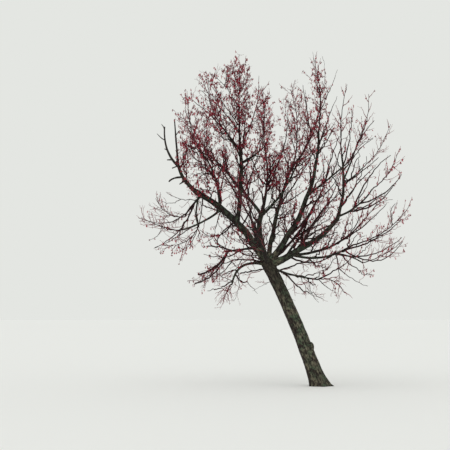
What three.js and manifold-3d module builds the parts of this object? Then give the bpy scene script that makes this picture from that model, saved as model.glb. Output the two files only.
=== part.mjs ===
// A leaning tree in winter, 8 m tall, with bare twigs and dark red fruit that still hangs on.
// The tree is described from the ground up: one leaning trunk with a root flare, boughs that fan
// out from its fork, and at each bough's tip a mass of twigs that branches by one seeded rule.
// Millimetres. +X is right, +Y is away from the viewer and +Z is up.
// The origin is the middle of the flat cut under the trunk, at ground level.

import * as THREE from 'three';
import { mergeVertices } from 'three/addons/utils/BufferGeometryUtils.js';
import Module from 'manifold-3d';

const wasm = await Module();
wasm.setup();

// Trunk
const TRUNK_FORK = [-1220, 0, 2950];
const TRUNK_BOW = [60, 0, 20];
const TRUNK_THICKNESS_LOW = 360;
const TRUNK_THICKNESS_HIGH = 285;
const FORK_SWELLING = 40;
const FORK_SWELLING_HEIGHT = 350;
const ROOT_FLARE = 120;
const ROOT_FLARE_HEIGHT = 230;
const ROOT_LOBES = 5;
const ROOT_LOBE_DEPTH = 0.1;
const BURIED_STUMP = 120;
const BURR = { height: 930, right: 135, away: -60, size: [80, 105, 130] };

// Boughs: the limb that each grows on and how far up that, its tip (right, away, up), how far its
// middle bows off the straight line to the tip, and its thickness where it leaves and at the tip.
const BOUGHS = {
  left: { on: 'trunk', at: 1, tip: [-2900, -220, 4650], bow: [80, 30, 140], thick: [205, 130] },
  right: { on: 'trunk', at: 0.99, tip: [450, -250, 4000], bow: [70, -30, -90], thick: [185, 95] },
  tall_right: { on: 'trunk', at: 1, tip: [0, -500, 6150], bow: [320, -60, -30], thick: [165, 48] },
  second_upright: { on: 'trunk', at: 1, tip: [-1350, 350, 4250], bow: [-110, 40, 10], thick: [155, 118] },
  third_upright: { on: 'trunk', at: 1, tip: [-450, 1500, 5750], bow: [-80, 160, 40], thick: [135, 52] },
  back: { on: 'trunk', at: 0.99, tip: [-1600, 1500, 4300], bow: [-30, 120, -60], thick: [120, 58] },
  front: { on: 'trunk', at: 0.99, tip: [-1650, -1500, 3850], bow: [30, -120, -30], thick: [115, 58] },
  broken: { on: 'trunk', at: 0.98, tip: [-2100, -600, 2450], bow: [-160, -30, 220], thick: [72, 46] },
  trunk_side: { on: 'trunk', at: 0.97, tip: [-100, -900, 2530], bow: [0, -40, -40], thick: [62, 34] },
  left_end: { on: 'left', at: 1, tip: [-3400, -350, 5300], bow: [-70, 0, -50], thick: [122, 68] },
  leader: { on: 'left', at: 0.5, tip: [-1900, -650, 5700], bow: [50, 30, 50], thick: [118, 80] },
  inner_left: { on: 'left', at: 0.74, tip: [-2850, -1000, 5550], bow: [120, -40, 60], thick: [72, 36] },
  low_left: { on: 'left', at: 0.72, tip: [-3400, -700, 3700], bow: [40, -40, -80], thick: [60, 34] },
  low_back: { on: 'left', at: 0.18, tip: [-2200, 700, 3300], bow: [-20, 60, 10], thick: [68, 44] },
  outer_left: { on: 'left', at: 0.97, tip: [-3250, -50, 4100], bow: [-70, 20, -40], thick: [56, 34] },
  left_hanging: { on: 'left', at: 1, tip: [-2900, -800, 3800], bow: [-60, -30, -50], thick: [52, 30] },
  left_dead: { on: 'left_end', at: 1, tip: [-3750, -250, 6300], bow: [-110, 0, -60], thick: [62, 28] },
  right_dead: { on: 'left_end', at: 1, tip: [-3500, -450, 6450], bow: [-10, 0, 20], thick: [54, 22] },
  leader_left: { on: 'leader', at: 0.86, tip: [-2250, -1000, 6050], bow: [-10, -20, 20], thick: [48, 32] },
  leader_right: { on: 'leader', at: 0.78, tip: [-1400, -1100, 5600], bow: [30, 0, -20], thick: [48, 30] },
  back_left: { on: 'second_upright', at: 0.96, tip: [-2700, 1300, 5900], bow: [60, 60, 0], thick: [84, 40] },
  middle: { on: 'second_upright', at: 0.98, tip: [-1200, 600, 5550], bow: [50, -10, -20], thick: [84, 40] },
  right_arm: { on: 'second_upright', at: 0.94, tip: [-400, 700, 5650], bow: [90, 20, -90], thick: [74, 40] },
  tall_side: { on: 'tall_right', at: 0.52, tip: [600, -1100, 5250], bow: [40, -20, 30], thick: [56, 32] },
  right_upper: { on: 'right', at: 1, tip: [550, -500, 5550], bow: [90, 0, -10], thick: [90, 40] },
  right_outer: { on: 'right_upper', at: 0.06, tip: [1200, -900, 4650], bow: [60, 0, -70], thick: [56, 32] },
  right_shoot: { on: 'right_upper', at: 0.54, tip: [1150, 300, 5350], bow: [10, 30, 0], thick: [48, 28] },
  right_high: { on: 'right_upper', at: 0.62, tip: [1050, 350, 6000], bow: [20, 30, -20], thick: [46, 26] },
  back_right: { on: 'right', at: 0.22, tip: [0, 1000, 4000], bow: [-30, 60, 40], thick: [68, 40] },
  low_right: { on: 'right', at: 0.3, tip: [900, 700, 3750], bow: [30, 60, -140], thick: [76, 44] },
  low_front: { on: 'right', at: 0.3, tip: [750, -800, 3350], bow: [10, -60, -180], thick: [66, 40] },
  right_hanging: { on: 'low_front', at: 0.72, tip: [900, -1300, 2900], bow: [10, -20, 40], thick: [40, 28] },
};

// Masses of twigs, named for the bough whose tip the stem goes on from: the stem's tip and bow, how
// far its twigs spread, the share of their ends that carry a bunch of fruit, and which masses hang.
const MASSES = {
  leader: { tip: [-1900, -900, 7700], bow: [-30, 0, 10], spread: 560, fruit: 0.5 },
  leader_left: { tip: [-2650, -1300, 7250], bow: [-150, 0, -50], spread: 560, fruit: 0.5 },
  leader_right: { tip: [-1400, -1500, 6950], bow: [50, 0, 20], spread: 430, fruit: 0.5 },
  inner_left: { tip: [-3100, -1500, 6750], bow: [-110, 0, -20], spread: 520, fruit: 0.5 },
  low_left: { tip: [-4250, -900, 4000], bow: [0, 0, -40], spread: 420, fruit: 0 },
  outer_left: { tip: [-4000, 300, 4600], bow: [-60, 40, -140], spread: 450, fruit: 0.2 },
  left_hanging: { tip: [-3700, -1400, 3300], bow: [100, 0, -150], spread: 460, fruit: 0.4, hangs: true },
  back_left: { tip: [-3350, 1700, 7150], bow: [-30, 40, 0], spread: 560, fruit: 0.5 },
  middle: { tip: [-1250, 500, 6950], bow: [-50, 0, -20], spread: 480, fruit: 0.5 },
  right_arm: { tip: [150, 900, 7000], bow: [40, 0, -50], spread: 460, fruit: 0.4 },
  third_upright: { tip: [-500, 2000, 7800], bow: [140, 60, -10], spread: 520, fruit: 0.4 },
  tall_right: { tip: [-100, -400, 8000], bow: [100, 0, 0], spread: 430, fruit: 0.3 },
  tall_side: { tip: [900, -1600, 6000], bow: [50, 0, -10], spread: 420, fruit: 0.2 },
  right_upper: { tip: [650, -900, 7200], bow: [-70, 0, 0], spread: 380, fruit: 0 },
  right_outer: { tip: [1750, -1300, 5450], bow: [80, 0, -50], spread: 420, fruit: 0 },
  right_shoot: { tip: [2000, 900, 6600], bow: [40, 0, -110], spread: 400, fruit: 0 },
  right_high: { tip: [1350, 300, 7250], bow: [100, 0, -30], spread: 340, fruit: 0 },
  back_right: { tip: [850, 2000, 5100], bow: [0, 30, 0], spread: 520, fruit: 0.1 },
  low_right: { tip: [1700, 1300, 4600], bow: [10, 0, -20], spread: 460, fruit: 0 },
  low_front: { tip: [2050, -1100, 4250], bow: [100, 0, -130], spread: 460, fruit: 0 },
  right_hanging: { tip: [1650, -2000, 3300], bow: [40, 0, -50], spread: 430, fruit: 0 },
  trunk_side: { tip: [450, -1500, 2200], bow: [50, 0, 120], spread: 460, fruit: 0, hangs: true },
  broken: { tip: [-2300, -900, 2100], bow: [0, 0, 20], spread: 440, fruit: 0, hangs: true },
  low_back: { tip: [-2950, 1500, 2550], bow: [60, 0, -40], spread: 460, fruit: 0.2, hangs: true },
  back: { tip: [-1450, 2600, 5800], bow: [-100, 60, 10], spread: 560, fruit: 0.3 },
  front: { tip: [-2100, -2600, 4600], bow: [-10, -40, -20], spread: 560, fruit: 0.3 },
};

// The rule that every mass branches by
const STEM_THICKNESS_SHARE = 0.85;
const STEM_POINT = 12;
const STEM_SINK = 20;
const TWIG_THICKNESS = 15;
const FINE_TWIG_THICKNESS = 6;
const TWIGS_TRIED = 7;
const FINE_TWIGS_TRIED = 1;
const FIRST_TWIG = 0.1;
const GOLDEN_ANGLE = 2.39996;
const UPRIGHT_ENOUGH = 0.01;
const LEAVING_ANGLE = [0.55, 0.95];
const TWIG_SHARE = [0.9, 1.5];
const FINE_TWIG_SHARE = [0.5, 0.8];
const SHORTER_TO_THE_TIP = 0.45;
const UPTURN = 0.3;
const SPACE_BETWEEN_MASSES = 0.12;
const CLEAR_OF_LIMBS = 30;
const PLACES_CHECKED = [0.35, 0.7, 1];
const SAMPLES = 24;
const FRUIT_BUNCH = { width: 52, length: 105, drop: 30 };

// Making the solids
const GAP = 0.3;
const TRUNK_SIDES = 15;
const TRUNK_RINGS = 11;
const HEAD_SIDES = 10;
const THICK_BOUGH = 100;
const THICK_BOUGH_SIDES = 8;
const THIN_BOUGH_SIDES = 6;
const RING_SPACING = 450;
const STEM_SIDES = 4;
const STEM_RINGS = 5;
const TWIG_SIDES = 3;
const FEWEST_RINGS = 3;
const GROUND_BLOCK = { width: 2000, depth: 1000 };
const SAME_CORNER = 0.0001;

const bark = { color: 0x3d3832, roughness: 0.92, metalness: 0 };
const deadWood = { color: 0x4a443e, roughness: 0.95, metalness: 0 };
const twigBark = { color: 0x3a2a28, roughness: 0.85, metalness: 0 };
const fruitingTwig = { color: 0x4f2226, roughness: 0.75, metalness: 0 };

const vector = (numbers) => new THREE.Vector3(...numbers);
const { lerp } = THREE.MathUtils;

// The same seed always gives the same run of numbers between 0 and 1.
function seededRandom(seed) {
  let state = seed >>> 0;
  return () => {
    state = (state + 0x6d2b79f5) >>> 0;
    let mixed = Math.imul(state ^ (state >>> 15), 1 | state);
    mixed = (mixed + Math.imul(mixed ^ (mixed >>> 7), 61 | mixed)) ^ mixed;
    return ((mixed ^ (mixed >>> 14)) >>> 0) / 4294967296;
  };
}

// A line from start to tip whose middle is pushed aside by the bow.
function bowedLine(start, tip, bow) {
  const middle = start.clone().add(tip).multiplyScalar(0.5).addScaledVector(bow, 2);
  return new THREE.QuadraticBezierCurve3(start, middle, tip);
}

// Bends an upright shape of height 1 and radius 1 along a curve, and gives it a radius at each ring.
function bendAlong(shape, curve, rings, radiusAt) {
  const frames = curve.computeFrenetFrames(rings, false);
  const place = shape.attributes.position;
  for (let i = 0; i < place.count; i++) {
    const along = place.getY(i) + 0.5;
    const ring = Math.round(along * rings);
    const across = new THREE.Vector2(place.getX(i), place.getZ(i));
    if (across.length() > 0) {
      across.setLength(radiusAt(along, Math.atan2(across.y, across.x)));
    }
    const sideways = frames.normals[ring].clone().cross(frames.tangents[ring]);
    const point = curve.getPointAt(along);
    point.addScaledVector(frames.normals[ring], across.x).addScaledVector(sideways, across.y);
    place.setXYZ(i, point.x, point.y, point.z);
  }
  return shape;
}

// A closed geometry with its shared corners merged becomes a solid that can be joined and cut.
function toSolid(geometry) {
  geometry.deleteAttribute('normal');
  geometry.deleteAttribute('uv');
  const merged = mergeVertices(geometry, SAME_CORNER);
  const vertProperties = new Float32Array(merged.attributes.position.array);
  const triVerts = new Uint32Array(merged.index.array);
  return new wasm.Manifold(new wasm.Mesh({ numProp: 3, vertProperties, triVerts }));
}

// Loose scraps that a cut leaves are dropped.
function largestBody(solid) {
  return solid.decompose().reduce((most, body) => (body.volume() > most.volume() ? body : most));
}

function toMesh(name, solid, look) {
  const { vertProperties, triVerts } = largestBody(solid).getMesh();
  const geometry = new THREE.BufferGeometry();
  geometry.setAttribute('position', new THREE.BufferAttribute(vertProperties, 3));
  geometry.setIndex(new THREE.BufferAttribute(triVerts, 1));
  geometry.computeVertexNormals();
  const mesh = new THREE.Mesh(geometry, new THREE.MeshStandardMaterial(look));
  mesh.name = name;
  return mesh;
}

// The trunk's radius at a height swells into the roots below and into the fork above.
function trunkRadius(height, around) {
  const flare = Math.exp(-height / ROOT_FLARE_HEIGHT);
  const fork = Math.exp((height - TRUNK_FORK[2]) / FORK_SWELLING_HEIGHT);
  const plain = lerp(TRUNK_THICKNESS_LOW, TRUNK_THICKNESS_HIGH, height / TRUNK_FORK[2]);
  const lobes = 1 + ROOT_LOBE_DEPTH * flare * Math.cos(ROOT_LOBES * around);
  return (plain + ROOT_FLARE * flare + FORK_SWELLING * fork) * lobes / 2;
}

// The trunk is made a little way into the ground and cut off flat there, and its head is rounded.
function trunkSolid(curve, growth) {
  const foot = curve.getPoint(0).addScaledVector(curve.getTangent(0), -BURIED_STUMP);
  const points = [foot, ...curve.getPoints(TRUNK_RINGS)];
  points.at(-1).addScaledVector(curve.getTangent(1), growth);
  const whole = new THREE.CatmullRomCurve3(points);
  const radiusAt = (along, around) => trunkRadius(whole.getPointAt(along).z, around) + growth;
  const stock = new THREE.CylinderGeometry(1, 1, 1, TRUNK_SIDES, TRUNK_RINGS);
  const headRadius = trunkRadius(TRUNK_FORK[2], 0) + growth;
  const head = new THREE.SphereGeometry(headRadius, HEAD_SIDES, HEAD_SIDES / 2);
  head.translate(...TRUNK_FORK);
  const burrAt = curve.getPoint(BURR.height / TRUNK_FORK[2]);
  const burr = new THREE.IcosahedronGeometry(1, 1).scale(...BURR.size);
  burr.translate(burrAt.x + BURR.right, burrAt.y + BURR.away, BURR.height);
  const { width, depth } = GROUND_BLOCK;
  const ground = new THREE.BoxGeometry(width, width, depth).translate(0, 0, -depth / 2);
  return toSolid(bendAlong(stock, whole, TRUNK_RINGS, radiusAt))
    .add(toSolid(head)).add(toSolid(burr)).subtract(toSolid(ground));
}

function makeTrunk() {
  const curve = bowedLine(vector([0, 0, 0]), vector(TRUNK_FORK), vector(TRUNK_BOW));
  return {
    name: 'trunk',
    curve,
    solid: trunkSolid(curve, 0),
    keepOut: trunkSolid(curve, GAP),
    radiusAt: (along) => trunkRadius(along * TRUNK_FORK[2], 0),
  };
}

// A bough is one tapering limb that starts inside the limb that it grows from.
function boughSolid(curve, thick, growth) {
  const sides = thick[0] > THICK_BOUGH ? THICK_BOUGH_SIDES : THIN_BOUGH_SIDES;
  const rings = Math.max(FEWEST_RINGS, Math.round(curve.getLength() / RING_SPACING));
  const shape = new THREE.CylinderGeometry(1, 1, 1, sides, rings);
  const radiusAt = (along) => lerp(thick[0], thick[1], along) / 2 + growth / Math.cos(Math.PI / sides);
  const longer = curve.clone();
  longer.v2.addScaledVector(curve.getTangent(1), growth);
  return toSolid(bendAlong(shape, longer, rings, radiusAt));
}

// Each bough is cut clear of every limb made before it that it meets.
function makeBough(name, { on, at, tip, bow, thick }, limbs) {
  const parent = limbs.find((limb) => limb.name === on);
  const curve = bowedLine(parent.curve.getPoint(at), vector(tip), vector(bow));
  const solid = limbs.reduce((rest, limb) => rest.subtract(limb.keepOut), boughSolid(curve, thick, 0));
  return {
    name,
    curve,
    solid: largestBody(solid),
    keepOut: boughSolid(curve, thick, GAP),
    radiusAt: (along) => lerp(thick[0], thick[1], along) / 2,
    tipThickness: thick[1],
  };
}

function distanceTo(samples, point) {
  return Math.min(...samples.map((sample) => sample.distanceTo(point)));
}

// A mass keeps to the space that is nearer to its own stem than to any other, within its spread.
function inOwnSpace(point, mass, masses) {
  const own = distanceTo(mass.samples, point) / mass.spread;
  return own <= 1 && masses.every((other) => other === mass
    || distanceTo(other.samples, point) / other.spread > own + SPACE_BETWEEN_MASSES);
}

function clearOfLimbs(point, limbs) {
  return limbs.every((limb) => limb.samples.every(
    (sample, i) => sample.distanceTo(point) > limb.radiusAt(i / SAMPLES) + CLEAR_OF_LIMBS,
  ));
}

// One side twig: straight, at an angle to its parent and turned round it, with its tip lifted or hung.
function sideTwig(parent, along, turn, angle, length, lift) {
  const onward = parent.getTangent(along);
  const level = new THREE.Vector3(onward.y, -onward.x, 0);
  const side = level.length() > UPRIGHT_ENOUGH ? level.normalize() : new THREE.Vector3(1, 0, 0);
  const across = side.clone().cross(onward);
  const heading = onward.clone().multiplyScalar(Math.cos(angle))
    .addScaledVector(side, Math.sin(angle) * Math.cos(turn))
    .addScaledVector(across, Math.sin(angle) * Math.sin(turn));
  heading.z += UPTURN * lift;
  heading.normalize();
  const start = parent.getPoint(along);
  return new THREE.LineCurve3(start, start.clone().addScaledVector(heading, length));
}

// The twigs of one mass: side twigs along the stem, and finer ones along those. A twig that would
// leave the mass's space or touch a limb is skipped.
function growTwigs(mass, masses, limbs) {
  const random = seededRandom(mass.seed);
  const between = ([low, high]) => lerp(low, high, random());
  const fits = (curve) => PLACES_CHECKED.every((along) => {
    const point = curve.getPoint(along);
    return inOwnSpace(point, mass, masses) && clearOfLimbs(point, limbs);
  });
  const twigs = [];
  for (let i = 0; i < TWIGS_TRIED; i++) {
    const along = FIRST_TWIG + (1 - FIRST_TWIG) * (i + random()) / TWIGS_TRIED;
    const turn = i * GOLDEN_ANGLE + random();
    const length = mass.spread * between(TWIG_SHARE) * (1 - SHORTER_TO_THE_TIP * along);
    const curve = sideTwig(mass.curve, along, turn, between(LEAVING_ANGLE), length, mass.lift);
    if (!fits(curve)) continue;
    twigs.push({ curve, thickness: TWIG_THICKNESS, fruit: random() < mass.fruit });
    for (let j = 0; j < FINE_TWIGS_TRIED; j++) {
      const place = (j + 1) / (FINE_TWIGS_TRIED + 1);
      const fineLength = length * between(FINE_TWIG_SHARE) * (1 - SHORTER_TO_THE_TIP * place);
      const fineTurn = j * Math.PI + random();
      const fine = sideTwig(curve, place, fineTurn, between(LEAVING_ANGLE), fineLength, mass.lift);
      if (!fits(fine)) continue;
      twigs.push({ curve: fine, thickness: FINE_TWIG_THICKNESS, fruit: random() < mass.fruit });
    }
  }
  return twigs;
}

// A twig is a thin spike whose root is sunk to the middle of its parent.
function twigSolid({ curve, thickness }) {
  return toSolid(bendAlong(new THREE.ConeGeometry(1, 1, TWIG_SIDES, 1), curve, 1, () => thickness / 2));
}

function fruitBunch({ curve }) {
  const { width, length, drop } = FRUIT_BUNCH;
  const bunch = new THREE.OctahedronGeometry(1).scale(width / 2, width / 2, length / 2);
  const tip = curve.getPoint(1);
  return toSolid(bunch.translate(tip.x, tip.y, tip.z - drop));
}

// A mass is its stem with every twig and bunch joined on, cut clear of the bough's tip.
function massSolid(mass, twigs, bough) {
  const stem = new THREE.ConeGeometry(1, 1, STEM_SIDES, STEM_RINGS);
  const thickness = bough.tipThickness * STEM_THICKNESS_SHARE;
  const sunk = mass.curve.clone();
  sunk.v0.addScaledVector(bough.curve.getTangent(1), -STEM_SINK);
  let solid = toSolid(bendAlong(stem, sunk, STEM_RINGS, (along) => lerp(thickness, STEM_POINT, along) / 2));
  for (const twig of twigs) {
    solid = solid.add(twigSolid(twig));
    if (twig.fruit) {
      solid = solid.add(fruitBunch(twig));
    }
  }
  return solid.subtract(bough.keepOut);
}

const limbs = [makeTrunk()];
for (const [name, row] of Object.entries(BOUGHS)) {
  limbs.push(makeBough(name, row, limbs));
}
for (const limb of limbs) {
  limb.samples = limb.curve.getPoints(SAMPLES);
}

const masses = Object.entries(MASSES).map(([name, row], i) => {
  const bough = limbs.find((limb) => limb.name === name);
  const curve = bowedLine(bough.curve.getPoint(1), vector(row.tip), vector(row.bow));
  const lift = row.hangs ? -1 : 1;
  return { ...row, name, bough, curve, lift, seed: i + 1, samples: curve.getPoints(SAMPLES) };
});

const tree = new THREE.Group();
for (const limb of limbs) {
  const name = limb.name === 'trunk' ? 'trunk' : `${limb.name}_bough`;
  tree.add(toMesh(name, limb.solid, limb.name.includes('dead') ? deadWood : bark));
}
for (const mass of masses) {
  const solid = massSolid(mass, growTwigs(mass, masses, limbs), mass.bough);
  tree.add(toMesh(`${mass.name}_twigs`, solid, mass.fruit > 0 ? fruitingTwig : twigBark));
}

export default tree;
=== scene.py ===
import math

import bmesh
import bpy
import numpy as np
from mathutils import Matrix, Vector, noise


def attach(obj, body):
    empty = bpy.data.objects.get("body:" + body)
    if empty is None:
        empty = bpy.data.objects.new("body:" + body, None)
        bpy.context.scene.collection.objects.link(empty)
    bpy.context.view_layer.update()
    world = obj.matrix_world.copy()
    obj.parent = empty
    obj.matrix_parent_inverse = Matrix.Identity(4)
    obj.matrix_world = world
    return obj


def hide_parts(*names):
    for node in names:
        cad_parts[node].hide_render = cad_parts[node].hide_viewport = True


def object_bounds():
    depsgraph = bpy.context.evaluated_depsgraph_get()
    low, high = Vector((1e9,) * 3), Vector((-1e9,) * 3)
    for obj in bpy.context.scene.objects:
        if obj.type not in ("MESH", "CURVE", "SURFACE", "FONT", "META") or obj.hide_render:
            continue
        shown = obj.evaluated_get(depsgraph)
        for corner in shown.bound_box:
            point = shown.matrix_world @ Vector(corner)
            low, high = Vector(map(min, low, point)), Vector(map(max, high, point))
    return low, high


# A leaning tree in winter, 8 m tall, with bare twigs and dark red fruit that still hangs on.
# +X is right, +Y is away from the viewer and +Z is up. The origin is under the trunk. Sizes are in
# metres and angles in radians, but the tables give bows and thicknesses in millimetres.
# The limbs and the masses of twigs have the solids' own places, seeds and rule of branching. Here
# the limbs get their bark, and the rule is carried on to finer twigs within the same reach.

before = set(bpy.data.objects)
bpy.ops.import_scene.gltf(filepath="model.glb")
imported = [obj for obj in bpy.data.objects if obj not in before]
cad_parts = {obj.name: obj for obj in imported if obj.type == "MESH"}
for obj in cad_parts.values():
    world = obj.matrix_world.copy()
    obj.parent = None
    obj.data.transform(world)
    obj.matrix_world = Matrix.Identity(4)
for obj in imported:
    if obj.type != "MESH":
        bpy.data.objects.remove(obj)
cad_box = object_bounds()
# Without a seed, the noise that the limbs wander by would start at another place in every run.
noise.seed_set(7)

# Trunk
TRUNK_FORK = (-1.22, 0, 2.95)
TRUNK_BOW = (60, 0, 20)
TRUNK_THICKNESS_LOW = 0.36
TRUNK_THICKNESS_HIGH = 0.285
FORK_SWELLING = 0.04
FORK_SWELLING_HEIGHT = 0.35
ROOT_FLARE = 0.12
ROOT_FLARE_HEIGHT = 0.23
ROOT_LOBES = 5
ROOT_LOBE_DEPTH = 0.1
# The share of the trunk's length that is made below the ground and then cut off level
BURIED_SHARE = 0.04
# The pruning burr: its height, how far it is right of and away from the trunk's middle, its size
BURR = {"height": 0.93, "right": 0.135, "away": -0.06, "size": (0.08, 0.105, 0.13)}

# Boughs: the limb that each grows on and how far up that, its tip (right, away, up), how far its
# middle bows off the straight line to the tip, and its thickness where it leaves and at the tip.
BOUGHS = {
    "left": ("trunk", 1, (-2.9, -0.22, 4.65), (80, 30, 140), (205, 130)),
    "right": ("trunk", 0.99, (0.45, -0.25, 4), (70, -30, -90), (185, 95)),
    "tall_right": ("trunk", 1, (0, -0.5, 6.15), (320, -60, -30), (165, 48)),
    "second_upright": ("trunk", 1, (-1.35, 0.35, 4.25), (-110, 40, 10), (155, 118)),
    "third_upright": ("trunk", 1, (-0.45, 1.5, 5.75), (-80, 160, 40), (135, 52)),
    "back": ("trunk", 0.99, (-1.6, 1.5, 4.3), (-30, 120, -60), (120, 58)),
    "front": ("trunk", 0.99, (-1.65, -1.5, 3.85), (30, -120, -30), (115, 58)),
    "broken": ("trunk", 0.98, (-2.1, -0.6, 2.45), (-160, -30, 220), (72, 46)),
    "trunk_side": ("trunk", 0.97, (-0.1, -0.9, 2.53), (0, -40, -40), (62, 34)),
    "left_end": ("left", 1, (-3.4, -0.35, 5.3), (-70, 0, -50), (122, 68)),
    "leader": ("left", 0.5, (-1.9, -0.65, 5.7), (50, 30, 50), (118, 80)),
    "inner_left": ("left", 0.74, (-2.85, -1, 5.55), (120, -40, 60), (72, 36)),
    "low_left": ("left", 0.72, (-3.4, -0.7, 3.7), (40, -40, -80), (60, 34)),
    "low_back": ("left", 0.18, (-2.2, 0.7, 3.3), (-20, 60, 10), (68, 44)),
    "outer_left": ("left", 0.97, (-3.25, -0.05, 4.1), (-70, 20, -40), (56, 34)),
    "left_hanging": ("left", 1, (-2.9, -0.8, 3.8), (-60, -30, -50), (52, 30)),
    "left_dead": ("left_end", 1, (-3.75, -0.25, 6.3), (-110, 0, -60), (62, 28)),
    "right_dead": ("left_end", 1, (-3.5, -0.45, 6.45), (-10, 0, 20), (54, 22)),
    "leader_left": ("leader", 0.86, (-2.25, -1, 6.05), (-10, -20, 20), (48, 32)),
    "leader_right": ("leader", 0.78, (-1.4, -1.1, 5.6), (30, 0, -20), (48, 30)),
    "back_left": ("second_upright", 0.96, (-2.7, 1.3, 5.9), (60, 60, 0), (84, 40)),
    "middle": ("second_upright", 0.98, (-1.2, 0.6, 5.55), (50, -10, -20), (84, 40)),
    "right_arm": ("second_upright", 0.94, (-0.4, 0.7, 5.65), (90, 20, -90), (74, 40)),
    "tall_side": ("tall_right", 0.52, (0.6, -1.1, 5.25), (40, -20, 30), (56, 32)),
    "right_upper": ("right", 1, (0.55, -0.5, 5.55), (90, 0, -10), (90, 40)),
    "right_outer": ("right_upper", 0.06, (1.2, -0.9, 4.65), (60, 0, -70), (56, 32)),
    "right_shoot": ("right_upper", 0.54, (1.15, 0.3, 5.35), (10, 30, 0), (48, 28)),
    "right_high": ("right_upper", 0.62, (1.05, 0.35, 6), (20, 30, -20), (46, 26)),
    "back_right": ("right", 0.22, (0, 1, 4), (-30, 60, 40), (68, 40)),
    "low_right": ("right", 0.3, (0.9, 0.7, 3.75), (30, 60, -140), (76, 44)),
    "low_front": ("right", 0.3, (0.75, -0.8, 3.35), (10, -60, -180), (66, 40)),
    "right_hanging": ("low_front", 0.72, (0.9, -1.3, 2.9), (10, -20, 40), (40, 28)),
}

# Masses of twigs, named for the bough whose tip the stem goes on from: the stem's tip and bow, how
# far its twigs spread, 1 to rise or -1 to hang, how full of twigs it is beside a plain one, how
# much fruit the crown bears near it, and whether it is one of the solids' fruiting masses.
MASSES = {
    "leader": ((-1.9, -0.9, 7.7), (-30, 0, 10), 0.56, 1, 1.28, 0.5, True),
    "leader_left": ((-2.65, -1.3, 7.25), (-150, 0, -50), 0.56, 1, 1.2, 0.5, True),
    "leader_right": ((-1.4, -1.5, 6.95), (50, 0, 20), 0.43, 1, 1.5, 0.5, True),
    "inner_left": ((-3.1, -1.5, 6.75), (-110, 0, -20), 0.52, 1, 1.1, 0.5, True),
    "low_left": ((-4.25, -0.9, 4), (0, 0, -40), 0.42, 1, 0.5, 0.06, False),
    "outer_left": ((-4, 0.3, 4.6), (-60, 40, -140), 0.45, 1, 0.58, 0.1, True),
    "left_hanging": ((-3.7, -1.4, 3.3), (100, 0, -150), 0.46, -1, 0.52, 0.4, True),
    "back_left": ((-3.35, 1.7, 7.15), (-30, 40, 0), 0.56, 1, 1.1, 0.5, True),
    "middle": ((-1.25, 0.5, 6.95), (-50, 0, -20), 0.48, 1, 1.25, 0.4, True),
    "right_arm": ((0.15, 0.9, 7), (40, 0, -50), 0.46, 1, 1, 0.4, True),
    "third_upright": ((-0.5, 2, 7.8), (140, 60, -10), 0.52, 1, 1.1, 0.5, True),
    "tall_right": ((-0.1, -0.4, 8), (100, 0, 0), 0.43, 1, 1, 0.45, True),
    "tall_side": ((0.9, -1.6, 6), (50, 0, -10), 0.42, 1, 1, 0.35, True),
    "right_upper": ((0.65, -0.9, 7.2), (-70, 0, 0), 0.38, 1, 0.8, 0.5, False),
    "right_outer": ((1.75, -1.3, 5.45), (80, 0, -50), 0.42, 1, 0.7, 0.42, False),
    "right_shoot": ((2, 0.9, 6.6), (40, 0, -110), 0.4, 1, 0.65, 0.5, False),
    "right_high": ((1.35, 0.3, 7.25), (100, 0, -30), 0.34, 1, 0.7, 0.5, False),
    "back_right": ((0.85, 2, 5.1), (0, 30, 0), 0.52, 1, 0.75, 0.35, True),
    "low_right": ((1.7, 1.3, 4.6), (10, 0, -20), 0.46, 1, 0.6, 0.3, False),
    "low_front": ((2.05, -1.1, 4.25), (100, 0, -130), 0.46, 1, 0.58, 0.3, False),
    "right_hanging": ((1.65, -2, 3.3), (40, 0, -50), 0.43, 1, 0.6, 0.15, False),
    "trunk_side": ((0.45, -1.5, 2.2), (50, 0, 120), 0.46, -1, 0.7, 0.03, False),
    "broken": ((-2.3, -0.9, 2.1), (0, 0, 20), 0.44, -1, 0.75, 0.03, False),
    "low_back": ((-2.95, 1.5, 2.55), (60, 0, -40), 0.46, -1, 0.8, 0.33, True),
    "back": ((-1.45, 2.6, 5.8), (-100, 60, 10), 0.56, 1, 0.8, 0.2, True),
    "front": ((-2.1, -2.6, 4.6), (-10, -40, -20), 0.56, 1, 0.65, 0.2, True),
}

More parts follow.
